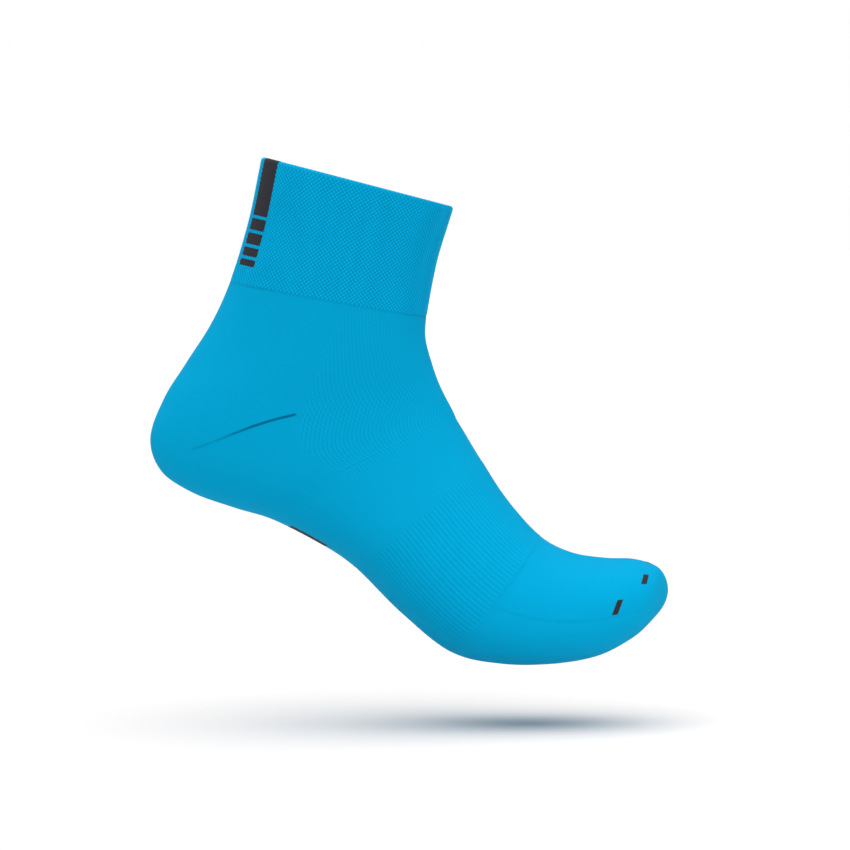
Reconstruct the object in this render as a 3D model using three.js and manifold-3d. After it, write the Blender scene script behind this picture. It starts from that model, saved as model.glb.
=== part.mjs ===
// A short knitted cycling sock, shaped as on a foot that stands on its ball with the heel raised.
// Millimetres. +X points to the toes and +Z up. The origin is the middle of the leg opening.
//
// A sock is knitted in one run, from the cuff to the toe, so its pieces are the stretches that are
// knitted in another stitch or on another half of the needles, the extra yarns and the seams.
// Each is a shell between the sock's outside and its inside, with a small gap to the next one.
//
// A spot on the sock has two coordinates. Its place runs down the sock from girth to girth: 0 is
// the leg opening, and every row of GIRTHS adds one. Its turn runs round the sock in degrees: 0 is
// the front or top, 180 the back or sole, and turns from 180 to 360 are the wearer's right, at -Y.
import * as THREE from "three";
import { mergeVertices } from "three/addons/utils/BufferGeometryUtils.js";
import Module from "manifold-3d";

const wasm = await Module();
wasm.setup();
const { degToRad, lerp, clamp, smoothstep } = THREE.MathUtils;

// The pose of the leg and the foot, in degrees.
const LEG_LEAN = 15; // the leg leans forward from upright
const FOOT_PITCH = 16; // the toe tip lies this far below the heel's back

// Lengths.
const LEG_HEIGHT = 143.5; // leg opening to the heel's back, along the leg
const HEEL_SETBACK = 64; // heel's back behind the leg's middle line
const FOOT_LENGTH = 257; // heel's back to the toe tip
const CUFF_HEIGHT = 58; // leg opening to the end of the doubled cuff, along the leg

// Front-to-back depths and side-to-side widths of the main girths.
const CUFF_DEPTH = 93.8;
const CUFF_WIDTH = 74;
const ANKLE_WIDTH = 70;
const LONG_HEEL_DEPTH = 139.2; // heel's back to the bend of the instep
const HEEL_WIDTH = 67;
const BALL_DEPTH = 69.2;
const BALL_WIDTH = 95;

// Fabric.
const KNIT = 1.2; // thickness of the single fabric
const PLY = 0.8; // thickness of each layer of the doubled cuff
const CUFF_THICKNESS = 2.8; // both layers and the space between them
const TURNED_EDGE = 5; // how far the outer layer's fold reaches down inside
const CLOSING_COURSE = 1.4; // height of the row that closes the doubled cuff
const GAP = 0.3; // between neighbouring pieces

// Elastic yarn inside the doubled cuff.
const ELASTIC_YARN = 0.5;
const ELASTIC_TURNS = 4;
const ELASTIC_MARGIN = 8; // from the cuff's two ends

// Seams.
const SUTURE_WIDTH = 1.8;
const SUTURE_RIDGE = 0.25; // how far a suture stands out of the fabric
const SEAM_WIDTH = 1.6;
const SEAM_RIDGE = 0.5;
const SUTURE_START = 0.008; // ends of a heel suture, as shares of the way round the rear needles
const SUTURE_END = 0.25;
const SUTURE_END_SPACE = 0.003;
const TOE_SEAM_END = 98; // turn of the toe seam's two ends
const TOE_SEAM_END_SPACE = 0.4; // degrees
const TOE_SUTURE_TURN = 92;
const TOE_SUTURE_END = 1.4; // girths short of the toe tip
const TOE_SUTURE_END_SPACE = 0.02;

// Dark yarn. A bar and dashes run down the cuff to the right of its back.
const STRIPE_TURN = 206.5;
const STRIPE_WIDTH = 13;
const BAR_LENGTH = 26.2;
const DASH_LENGTHS = [5.1, 4.7, 3.6, 2.8];
const DASH_SPACE = 1.45;
const TOE_DASH_TURNS = [-84, -50, 0, 50, 84];
const TOE_DASH_LENGTH = 7;
const TOE_DASH_WIDTH = 3;
const SOLE_BAR_LENGTH = 20;
const SOLE_BAR_WIDTH = 44;

// How finely the shells are faceted.
const RING_COLUMNS = 40;
const HALF_COLUMNS = 20;
const CUFF_ROWS = 4;
const OUTER_CUFF_ROWS = 3;
const FOLD_FACETS = 4;
const ANKLE_ROWS = 5;
const HEEL_ROWS = 7;
const SOLE_ROWS = 5;
const BAND_ROWS = 3;
const TOE_ROWS = 9;
const HEEL_SUTURE_STEPS = 8;
const TOE_SUTURE_STEPS = 7;
const TOE_SEAM_STEPS = 20;
const YARN_SIDES = 4;
const SAME_POINT = 1e-3; // points closer than this are one
const CUT_REACH = 2; // how far a seam's cutter passes out of the fabric
const INLAY_REACH = 3; // how far an inlay's cutter does

// ---- The form inside the sock ----

// Girths down the leg: distance from the leg opening along the leg, distance forward of the leg's
// middle line, tilt from square to the leg in degrees, depth, width, corner and spread.
// A corner of 2 is an ellipse, and more is squarer. Spread widens the back or sole of a girth,
// and narrows it where it is negative.
const LEG_GIRTHS = [
  [CUFF_THICKNESS / 2, -0.3, 0.4, CUFF_DEPTH, CUFF_WIDTH, 2.1, 0], // leg opening
  [CUFF_HEIGHT / 2, 0.1, 3, CUFF_DEPTH - 2.4, CUFF_WIDTH - 3, 2.1, -0.03],
  [CUFF_HEIGHT, 0.5, 5, CUFF_DEPTH + 1, ANKLE_WIDTH - 1, 2.1, -0.06], // end of the cuff
  [LEG_HEIGHT * 0.51, -0.8, 12, LONG_HEEL_DEPTH - 37.7, ANKLE_WIDTH - 1, 2.1, -0.1],
  [LEG_HEIGHT * 0.604, -2, 17.7, LONG_HEEL_DEPTH - 23.8, ANKLE_WIDTH - 0.5, 2.1, -0.1], // ankle bones
  [LEG_HEIGHT * 0.691, -3, 21.7, LONG_HEEL_DEPTH - 10.7, ANKLE_WIDTH - 0.5, 2.15, -0.05],
  [LEG_HEIGHT * 0.783, -1.7, 26.2, LONG_HEEL_DEPTH, ANKLE_WIDTH - 1, 2.2, 0], // heel's back
];

// Girths along the foot: share of the foot's length from the heel's back, height over the line from
// the heel's back to the toe tip, tilt from that line in degrees, depth, width, corner and spread.
const FOOT_GIRTHS = [
  [0.265, 23.5, 31.6, LONG_HEEL_DEPTH, HEEL_WIDTH + 1.5, 2.2, 0.04], // under the heel
  [0.306, 18.1, 34.6, LONG_HEEL_DEPTH - 9.4, HEEL_WIDTH + 1, 2.2, 0.08],
  [0.353, 15.9, 39.3, LONG_HEEL_DEPTH - 24.8, HEEL_WIDTH + 1, 2.2, 0.12],
  [0.395, 14.5, 44.9, BALL_DEPTH + 30.5, HEEL_WIDTH + 2, 2.2, 0.14], // start of the arch band
  [0.458, 8.4, 50.9, BALL_DEPTH + 17.4, BALL_WIDTH - 22, 2.25, 0.15],
  [0.516, 0.8, 56.7, BALL_DEPTH + 9.2, BALL_WIDTH - 14, 2.3, 0.15], // end of the arch band
  [0.599, -13.4, 63.7, BALL_DEPTH + 4.4, BALL_WIDTH - 4, 2.35, 0.14],
  [0.692, -25.4, 68.6, BALL_DEPTH, BALL_WIDTH, 2.4, 0.12], // ball of the foot
  [0.772, -26.6, 73.8, BALL_DEPTH - 7.2, BALL_WIDTH - 2, 2.4, 0.1],
  [0.849, -22.4, 79.3, BALL_DEPTH - 13.5, BALL_WIDTH - 8, 2.4, 0.08],
  [0.911, -16.2, 85.6, BALL_DEPTH - 20.3, BALL_WIDTH - 20, 2.35, 0.06],
  [0.959, -9.7, 89.1, BALL_DEPTH - 33.1, BALL_WIDTH - 38, 2.3, 0.03],
  [0.984, -5.6, 91.7, BALL_DEPTH - 47, BALL_WIDTH - 60, 2.2, 0],
  [1, -4.7, 91, 0, 0, 2, 0], // toe tip
];

// Places of the panels' edges, as rows of GIRTHS.
const RIM = 0;
const CUFF_END = 2;
const HEEL_TOP = 4; // at the middle of the back
const GORE = 6.1; // front ends of the heel's sutures
const HEEL_END = 8.5; // at the middle of the sole
const BAND_START = 10;
const BAND_END = 12;
const TOE_START = 14;
const TOE_DASH_TOP = 17.75; // the dash in the middle
const TOE_DASH_SIDE = 16.95; // the first and last dash
const SOLE_BAR = 10.75;
const TIP = LEG_GIRTHS.length + FOOT_GIRTHS.length - 1;
const SIDE_TURN_AT_CUFF = 79; // where the front needles meet the rear ones
const SIDE_TURN_AT_BAND = 95;
const EYELET_LENGTH = 1.317; // half the heel pocket's opening at its front ends
const GORE_SAG = 0.42; // how far a heel suture dips, in girths

const legAxis = new THREE.Vector3(Math.sin(degToRad(LEG_LEAN)), 0, Math.cos(degToRad(LEG_LEAN)));

// A point of the middle plane, from a distance down the leg and one forward of its middle line.
function legPoint(down, forward) {
  const ahead = new THREE.Vector3(legAxis.z, 0, -legAxis.x);
  return ahead.multiplyScalar(forward).addScaledVector(legAxis, -down);
}

// A point of the middle plane, from a distance along the foot and a height over its line.
function footPoint(along, height) {
  const pitch = degToRad(FOOT_PITCH);
  const ahead = new THREE.Vector3(Math.cos(pitch), 0, -Math.sin(pitch));
  const above = new THREE.Vector3(Math.sin(pitch), 0, Math.cos(pitch));
  const heel = legPoint(LEG_HEIGHT, -HEEL_SETBACK);
  return heel.addScaledVector(ahead, along).addScaledVector(above, height);
}

// Each girth as its middle point, its tilt from level, and its size and shape.
const GIRTHS = [
  ...LEG_GIRTHS.map(([down, forward, tilt, ...size]) => [
    legPoint(down, forward),
    tilt - LEG_LEAN,
    ...size,
  ]),
  ...FOOT_GIRTHS.map(([share, height, tilt, ...size]) => [
    footPoint(share * FOOT_LENGTH, height),
    tilt - FOOT_PITCH,
    ...size,
  ]),
].map(([middle, tilt, depth, width, corner, spread]) => ({
  x: middle.x,
  z: middle.z,
  tilt: degToRad(tilt),
  depthSquared: depth ** 2, // squares close the toe in a round end
  widthSquared: width ** 2,
  corner,
  spread,
}));

// A measure of the girths at any place, on a smooth curve through its value at each girth.
function measure(key, place) {
  const last = GIRTHS.length - 1;
  const i = clamp(Math.floor(place), 0, last - 1);
  const here = GIRTHS[i][key];
  const next = GIRTHS[i + 1][key];
  const before = i > 0 ? GIRTHS[i - 1][key] : 2 * here - next;
  const after = i + 2 <= last ? GIRTHS[i + 2][key] : 2 * next - here;
  const startSlope = (next - before) / 2;
  const endSlope = (after - here) / 2;
  const t = place - i;
  const bend = 3 * (next - here) - 2 * startSlope - endSlope;
  const twist = startSlope + endSlope - 2 * (next - here);
  return here + t * (startSlope + t * (bend + t * twist));
}

// A cosine or sine pushed outwards, which turns an ellipse into a squarer curve.
function squared(value, corner) {
  return Math.sign(value) * Math.abs(value) ** (2 / corner);
}

// The point of the sock's outside at a spot.
function skin(place, turn) {
  const corner = measure("corner", place);
  const ahead = squared(Math.cos(degToRad(turn)), corner);
  const aside = squared(Math.sin(degToRad(turn)), corner);
  const depth = Math.sqrt(Math.max(measure("depthSquared", place), 0));
  const width = Math.sqrt(Math.max(measure("widthSquared", place), 0));
  const tilt = measure("tilt", place);
  return new THREE.Vector3(
    measure("x", place) + (depth / 2) * ahead * Math.cos(tilt),
    (width / 2) * aside * (1 - measure("spread", place) * ahead),
    measure("z", place) + (depth / 2) * ahead * Math.sin(tilt),
  );
}

// Direction out of the fabric at a spot.
function outward(place, turn) {
  if (place >= TIP) {
    const tilt = measure("tilt", TIP);
    return new THREE.Vector3(Math.sin(tilt), 0, -Math.cos(tilt));
  }
  const step = 0.01;
  const down = skin(Math.min(place + step, TIP), turn).sub(skin(place - step, turn));
  const round = skin(place, turn + 1).sub(skin(place, turn - 1));
  return down.cross(round).normalize();
}

// The point at a depth inside the sock's outside.
function within(place, turn, depth) {
  return skin(place, turn).addScaledVector(outward(place, turn), -depth);
}

// How many degrees of turn, or rows of GIRTHS, a length in millimetres is at a spot.
function turnsIn(length, place, turn) {
  return length / skin(place, turn + 0.5).distanceTo(skin(place, turn - 0.5));
}

function placesIn(length, place, turn) {
  const step = 0.05;
  return (2 * step * length) / skin(place + step, turn).distanceTo(skin(place - step, turn));
}

// The place at a distance down the cuff from the leg opening.
function cuffPlace(distance) {
  return (CUFF_END * (distance - CUFF_THICKNESS / 2)) / (CUFF_HEIGHT - CUFF_THICKNESS / 2);
}

// Turn of the line down each side where the front needles meet the rear ones.
function sideTurn(place) {
  return lerp(SIDE_TURN_AT_CUFF, SIDE_TURN_AT_BAND, smoothstep(place, CUFF_END, BAND_START));
}

// A spot on the rear needles, where share runs from 0 at one side line to 1 at the other.
function rearSpot(place, share) {
  return [place, lerp(sideTurn(place), 360 - sideTurn(place), share)];
}

// The heel pocket opens from the front ends of its sutures, so its edges run across the girths.
const EYELET = placesIn(EYELET_LENGTH, GORE, sideTurn(GORE));
const fromSide = (share) => Math.sin(Math.PI * share);
const heelTop = (share) => lerp(GORE - EYELET, HEEL_TOP, fromSide(share));
const heelEnd = (share) => lerp(GORE + EYELET, HEEL_END, fromSide(share));
const goreLine = (share) => GORE + GORE_SAG * Math.sin(2 * Math.PI * share) ** 2;

// ---- Closed solids from lines of points ----

// Turns triangles that share points into a geometry, and leaves out those shrunk to a line.
function geometryOf(triangles) {
  const loose = new THREE.BufferGeometry();
  const positions = triangles.flatMap((point) => point.toArray());
  loose.setAttribute("position", new THREE.Float32BufferAttribute(positions, 3));
  const merged = mergeVertices(loose, SAME_POINT);
  const kept = [];
  for (let i = 0; i < merged.index.count; i += 3) {
    const corners = [0, 1, 2].map((k) => merged.index.getX(i + k));
    if (new Set(corners).size === 3) kept.push(...corners);
  }
  return merged.setIndex(kept);
}

// The triangles between two lines of points of the same length.
function strip(first, second) {
  return first.slice(1).flatMap((corner, i) => [
    ...[first[i], second[i], second[i + 1]],
    ...[first[i], second[i + 1], corner],
  ]);
}

// The triangles between each line of points and the next.
function sheet(lines) {
  return lines.slice(1).flatMap((line, i) => strip(lines[i], line));
}

// Closes a line of points into a loop.
const loop = (points) => [...points, points[0]];

// A ring with the same loop of points at each turn.
function ringSolid(loopAt) {
  const loops = steps(0, 360, RING_COLUMNS).slice(0, -1).map((turn) => loop(loopAt(turn)));
  return geometryOf(sheet(loop(loops).reverse()));
}

// A shell between an outer and an inner grid of points.
function shellSolid(outer, inner) {
  const edge = (grid) => [
    ...grid[0],
    ...grid.slice(1).map((row) => row.at(-1)),
    ...grid.at(-1).slice(0, -1).reverse(),
    ...grid.slice(1, -1).map((row) => row[0]).reverse(),
  ];
  const back = inner.map((row) => [...row].reverse());
  return geometryOf([...sheet(outer), ...sheet(back), ...strip(loop(edge(inner)), loop(edge(outer)))]);
}

// A bar whose section is a few points, with flat ends.
function sweptSolid(sections) {
  const fan = ([first, ...rest]) => rest.slice(1).flatMap((point, i) => [first, rest[i], point]);
  const closed = sections.map(loop);
  return geometryOf([...sheet(closed), ...fan(sections[0]), ...fan([...sections.at(-1)].reverse())]);
}

function steps(start, end, count) {
  return Array.from({ length: count + 1 }, (_, i) => lerp(start, end, i / count));
}

// A line of points with its two ends drawn in towards their neighbours.
function drawnIn(line, amount) {
  const drawn = (end, next) => end.clone().addScaledVector(next.clone().sub(end).normalize(), amount);
  return [drawn(line[0], line[1]), ...line.slice(1, -1), drawn(line.at(-1), line.at(-2))];
}

// A grid of points with its four edges drawn in.
function drawnInGrid(grid, amount) {
  const rows = grid.map((row) => drawnIn(row, amount));
  const columns = rows[0].map((_, c) => drawnIn(rows.map((row) => row[c]), amount));
  return rows.map((row, r) => row.map((_, c) => columns[c][r]));
}

// ---- Fabric ----

// A full ring of fabric between two depths, along a list of places.
function sleeve(places, from = 0, to = KNIT) {
  return ringSolid((turn) => {
    const line = (depth) => drawnIn(places.map((place) => within(place, turn, depth)), GAP / 2);
    return [...line(from), ...line(to).reverse()];
  });
}

// A patch of fabric between two depths. spotAt gives the spot at two shares of the patch, down it
// and round it, and inset is how far its edges are drawn in.
function patch(spotAt, rows, columns, { from = 0, to = KNIT, inset = GAP / 2 } = {}) {
  const grid = (depth) =>
    steps(0, 1, rows).map((v) => steps(0, 1, columns).map((u) => within(...spotAt(v, u), depth)));
  return shellSolid(drawnInGrid(grid(from), inset), drawnInGrid(grid(to), inset));
}

// A patch on the rear needles between two edges that may change with the share round it.
function rearPanel(first, last, rows) {
  return patch((v, u) => rearSpot(lerp(first(u), last(u), v), u), rows, HALF_COLUMNS);
}

// The outer layer's section at a turn: up the outside, over the fold and down inside.
function foldedLoop(turn) {
  const middle = CUFF_THICKNESS / 2;
  const side = (offset, lowest) =>
    steps(cuffPlace(lowest), RIM, OUTER_CUFF_ROWS).map((place) => within(place, turn, middle + offset));
  const fold = (radius) =>
    steps(0, 180, FOLD_FACETS).slice(1, -1).map((angle) => {
      const depth = middle - radius * Math.cos(degToRad(angle));
      return within(RIM, turn, depth).addScaledVector(legAxis, radius * Math.sin(degToRad(angle)));
    });
  const face = (radius) => [
    ...side(-radius, CUFF_HEIGHT - CLOSING_COURSE),
    ...fold(radius),
    ...side(radius, TURNED_EDGE).reverse(),
  ];
  return [...drawnIn(face(middle - PLY), GAP / 2), ...drawnIn(face(middle), GAP / 2).reverse()];
}

// A seam along a line of spots, as wide as stated, that fills the fabric and stands out of it.
function seam(spots, width, above, below) {
  const points = spots.map(([place, turn]) => skin(place, turn));
  const sections = spots.map(([place, turn], i) => {
    const ahead = points[Math.min(i + 1, points.length - 1)].clone().sub(points[Math.max(i - 1, 0)]);
    const normal = outward(place, turn);
    const aside = ahead.cross(normal).setLength(width / 2);
    const corner = (side, height) =>
      points[i].clone().addScaledVector(aside, side).addScaledVector(normal, height);
    return [corner(1, above), corner(-1, above), corner(-1, -below), corner(1, -below)];
  });
  return sweptSolid(sections);
}

// The elastic yarn: a coil in the space between the two layers of the cuff.
function elasticCoil() {
  const count = RING_COLUMNS * ELASTIC_TURNS;
  const first = cuffPlace(ELASTIC_MARGIN);
  const last = cuffPlace(CUFF_HEIGHT - ELASTIC_MARGIN);
  const sections = steps(0, 1, count).map((share) => {
    const spot = [lerp(first, last, share), 360 * ELASTIC_TURNS * share];
    const middle = within(...spot, CUFF_THICKNESS / 2);
    const normal = outward(...spot);
    return steps(0, 2 * Math.PI, YARN_SIDES).slice(1).map((angle) =>
      middle
        .clone()
        .addScaledVector(normal, (ELASTIC_YARN / 2) * Math.cos(angle))
        .addScaledVector(legAxis, (ELASTIC_YARN / 2) * Math.sin(angle)),
    );
  });
  return sweptSolid(sections);
}

// ---- Cuts with manifold-3d ----

function solid(geometry) {
  const vertProperties = geometry.attributes.position.array;
  const triVerts = new Uint32Array(geometry.index.array);
  return new wasm.Manifold(new wasm.Mesh({ numProp: 3, vertProperties, triVerts }));
}

function geometryFrom(made) {
  const mesh = made.getMesh();
  const geometry = new THREE.BufferGeometry();
  geometry.setAttribute("position", new THREE.BufferAttribute(mesh.vertProperties, 3));
  return geometry.setIndex(new THREE.BufferAttribute(mesh.triVerts, 1));
}

// The object's pieces by name, each with its geometry and its colour.
const pieces = new Map();

function addPiece(name, geometry, material) {
  pieces.set(name, { geometry, material });
}

// Cuts a shape out of a piece.
function cutFrom(name, cutter) {
  const piece = pieces.get(name);
  piece.geometry = geometryFrom(solid(piece.geometry).subtract(solid(cutter)));
}

// Swaps part of a piece for an inlay of dark yarn, as large as the patch that spotAt describes.
function inlay(name, host, spotAt, columns = 2) {
  const rows = 1;
  const reach = { from: -INLAY_REACH, to: CUFF_THICKNESS + INLAY_REACH };
  const shape = solid(patch(spotAt, rows, columns, { ...reach, inset: 0 }));
  const fabric = solid(pieces.get(host).geometry);
  addPiece(name, geometryFrom(fabric.intersect(shape)), DARK);
  cutFrom(host, patch(spotAt, rows, columns, { ...reach, inset: -GAP }));
}

// A patch of a length and a width round one spot.
function around(place, turn, length, width) {
  return (v, u) => [
    place + placesIn(length * (v - 0.5), place, turn),
    turn + turnsIn(width * (u - 0.5), place, turn),
  ];
}

// ---- The pieces ----

const BLUE = { color: 0x0aa0d8, roughness: 0.9, metalness: 0 };
const BLUE_MESH = { color: 0x0a8ec8, roughness: 0.95, metalness: 0 };
const DARK = { color: 0x1d1c2b, roughness: 0.9, metalness: 0 };
const ELASTIC = { color: 0xd8e6ee, roughness: 0.6, metalness: 0 };

function addCuff() {
  const closing = cuffPlace(CUFF_HEIGHT - CLOSING_COURSE);
  addPiece("cuff_outer_ply", ringSolid(foldedLoop), BLUE);
  const innerPlaces = steps(cuffPlace(TURNED_EDGE), closing, CUFF_ROWS);
  addPiece("cuff_inner_ply", sleeve(innerPlaces, CUFF_THICKNESS - PLY, CUFF_THICKNESS), BLUE);
  addPiece("cuff_elastic_yarn", elasticCoil(), ELASTIC);
  addPiece("cuff_closing_course", sleeve([closing, CUFF_END], 0, CUFF_THICKNESS), BLUE);
}

function addStripe() {
  const span = (from, to) => (v, u) => {
    const place = lerp(cuffPlace(from), cuffPlace(to), v);
    return [place, STRIPE_TURN + turnsIn(STRIPE_WIDTH * (u - 0.5), place, STRIPE_TURN)];
  };
  inlay("stripe_bar", "cuff_outer_ply", span(-CUFF_THICKNESS, BAR_LENGTH));
  let start = BAR_LENGTH + DASH_SPACE;
  DASH_LENGTHS.forEach((length, i) => {
    inlay(`stripe_dash_${i + 1}`, "cuff_outer_ply", span(start, start + length));
    start += length + DASH_SPACE;
  });
}

function addAnkleAndHeel() {
  const anklePlaces = steps(CUFF_END, heelTop(0), ANKLE_ROWS);
  const places = [...anklePlaces, ...steps(heelEnd(0), BAND_START, SOLE_ROWS)];
  const rows = places.length - 1;
  const front = (v, u) => {
    const place = places[Math.round(v * rows)]; // the same rows as the rear panels have at the side
    return [place, lerp(-sideTurn(place), sideTurn(place), u)];
  };
  addPiece("instep_mesh_panel", patch(front, rows, HALF_COLUMNS), BLUE_MESH);
  addPiece("ankle_back_panel", rearPanel(() => CUFF_END, heelTop, ANKLE_ROWS), BLUE);
  addPiece("heel_pocket", rearPanel(heelTop, heelEnd, HEEL_ROWS), BLUE);
  addPiece("sole_panel", rearPanel(heelEnd, () => BAND_START, SOLE_ROWS), BLUE);
  addHeelSutures();
}

function addHeelSutures() {
  const cutWidth = SUTURE_WIDTH + 2 * GAP;
  for (const side of ["left", "right"]) {
    const along = (from, to) =>
      steps(from, to, HEEL_SUTURE_STEPS).map((part) => {
        const share = side === "left" ? part : 1 - part;
        return rearSpot(goreLine(share), share);
      });
    const line = along(SUTURE_START, SUTURE_END);
    const cut = along(-SUTURE_START, SUTURE_END + SUTURE_END_SPACE);
    addPiece(`heel_suture_${side}`, seam(line, SUTURE_WIDTH, SUTURE_RIDGE, KNIT), BLUE);
    cutFrom("heel_pocket", seam(cut, cutWidth, CUT_REACH, KNIT + CUT_REACH));
  }
}

function addFoot() {
  addPiece("arch_band", sleeve(steps(BAND_START, BAND_END, BAND_ROWS)), BLUE);
  addPiece("forefoot_mesh", sleeve(steps(BAND_END, TOE_START, BAND_ROWS)), BLUE_MESH);
  inlay("sole_bar", "arch_band", around(SOLE_BAR, 180, SOLE_BAR_LENGTH, SOLE_BAR_WIDTH), 4);
}

function addToe() {
  const places = steps(0, 1, TOE_ROWS).map((share) => lerp(TIP, TOE_START, (1 - share) ** 2));
  addPiece("toe_pocket", toeShell(places), BLUE);
  addToeSeams();
  TOE_DASH_TURNS.forEach((turn, i) => {
    const place = lerp(TOE_DASH_TOP, TOE_DASH_SIDE, (turn / TOE_DASH_TURNS[0]) ** 4);
    const spots = around(place, turn, TOE_DASH_WIDTH, TOE_DASH_LENGTH);
    inlay(`toe_dash_${i + 1}`, "toe_pocket", spots);
  });
}

// The toe's shell, from its open edge to the tip, where its lines of points meet.
function toeShell(places) {
  return ringSolid((turn) => {
    const line = (depth) => places.map((place) => within(place, turn, depth));
    const drawn = (points) => [...drawnIn(points, GAP / 2).slice(0, -1), points.at(-1)];
    return [...drawn(line(0)), ...drawn(line(KNIT)).reverse()];
  });
}

function addToeSeams() {
  const overTop = (end) => steps(-end, end, TOE_SEAM_STEPS).map((turn) => [TOE_START, turn]);
  const seamCut = overTop(TOE_SEAM_END + TOE_SEAM_END_SPACE);
  addPiece("toe_linking_seam", seam(overTop(TOE_SEAM_END), SEAM_WIDTH, SEAM_RIDGE, KNIT), BLUE);
  for (const host of ["forefoot_mesh", "toe_pocket"]) {
    cutFrom(host, seam(seamCut, SEAM_WIDTH + 2 * GAP, CUT_REACH, KNIT + CUT_REACH));
  }
  addToeSuture("left", TOE_SUTURE_TURN);
  addToeSuture("right", -TOE_SUTURE_TURN);
}

function addToeSuture(side, turn) {
  const first = TOE_START + placesIn(SEAM_WIDTH / 2 + GAP, TOE_START, 90);
  const last = TIP - TOE_SUTURE_END;
  const along = (from, to) => steps(from, to, TOE_SUTURE_STEPS).map((place) => [place, turn]);
  const cut = along(TOE_START, last + TOE_SUTURE_END_SPACE);
  addPiece(`toe_suture_${side}`, seam(along(first, last), SUTURE_WIDTH, SUTURE_RIDGE, KNIT), BLUE);
  cutFrom("toe_pocket", seam(cut, SUTURE_WIDTH + 2 * GAP, CUT_REACH, KNIT + CUT_REACH));
}

addCuff();
addStripe();
addAnkleAndHeel();
addFoot();
addToe();

const sock = new THREE.Group();
for (const [name, { geometry, material }] of pieces) {
  const mesh = new THREE.Mesh(geometry, new THREE.MeshStandardMaterial(material));
  mesh.name = name;
  sock.add(mesh);
}

export default sock;
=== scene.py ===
"""A short knitted cycling sock, as it sits on a foot that stands on its ball with the heel raised.

The sock is one knitted tube, so every fabric piece is a stretch of the same loft. A spot on it has
two coordinates: its place counts girths down the sock from the leg opening, and its turn goes round
the sock in degrees, 0 at the front or top and 180 at the back or sole.
"""

from __future__ import annotations

import logging
import math
from dataclasses import dataclass, field
from enum import Enum
from typing import Callable

import bpy
import numpy as np
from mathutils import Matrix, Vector

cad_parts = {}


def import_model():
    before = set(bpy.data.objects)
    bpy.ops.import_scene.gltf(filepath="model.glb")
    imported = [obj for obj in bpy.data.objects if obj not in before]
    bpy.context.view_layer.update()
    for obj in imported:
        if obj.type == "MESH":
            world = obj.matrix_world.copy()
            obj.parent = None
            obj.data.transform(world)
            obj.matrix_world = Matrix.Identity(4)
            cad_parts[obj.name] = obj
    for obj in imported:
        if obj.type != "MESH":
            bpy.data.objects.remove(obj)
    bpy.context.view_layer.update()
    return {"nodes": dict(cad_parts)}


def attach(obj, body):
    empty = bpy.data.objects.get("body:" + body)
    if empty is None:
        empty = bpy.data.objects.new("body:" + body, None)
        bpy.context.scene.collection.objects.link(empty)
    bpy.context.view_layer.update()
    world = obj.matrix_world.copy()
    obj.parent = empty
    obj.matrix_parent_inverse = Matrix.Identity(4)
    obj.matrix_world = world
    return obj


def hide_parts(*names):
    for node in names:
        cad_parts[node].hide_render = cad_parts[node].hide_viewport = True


log = logging.getLogger("sock")

MM = 0.001
BODY = "root"
KNIT_MAP = "knit"  # UV map: u counts wales round the sock, v counts courses down it
SMOOTH_BELOW = 55.0  # degrees between faces up to which an edge is shaded smooth
OUTER_FACE = 0.1  # radians over the cuff's fold up to which a face counts as outside
TINY = 1e-9  # stands in for a length of nothing in a division
MARK_RAISED = 0.08  # mm that the foot's dark marks stand proud of the fabric
DARK_THICKNESS = 0.5  # mm of dark yarn in a mark or a stripe
Array = np.ndarray
Line = Callable[[Array], tuple[Array, Array]]  # place and turn at shares of a line
Spots = Callable[[Array, Array], tuple[Array, Array]]  # place and turn at shares down and round
Colour = tuple[float, float, float]  # linear red, green and blue
Metres = tuple[float, float, float]  # x, y and z


def smooth_step(share: Array) -> Array:
    """Eases a share from 0 to 1, held at its ends."""
    t = np.clip(share, 0, 1)
    return t * t * (3 - 2 * t)


# ---- The form inside the sock ----


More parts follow.
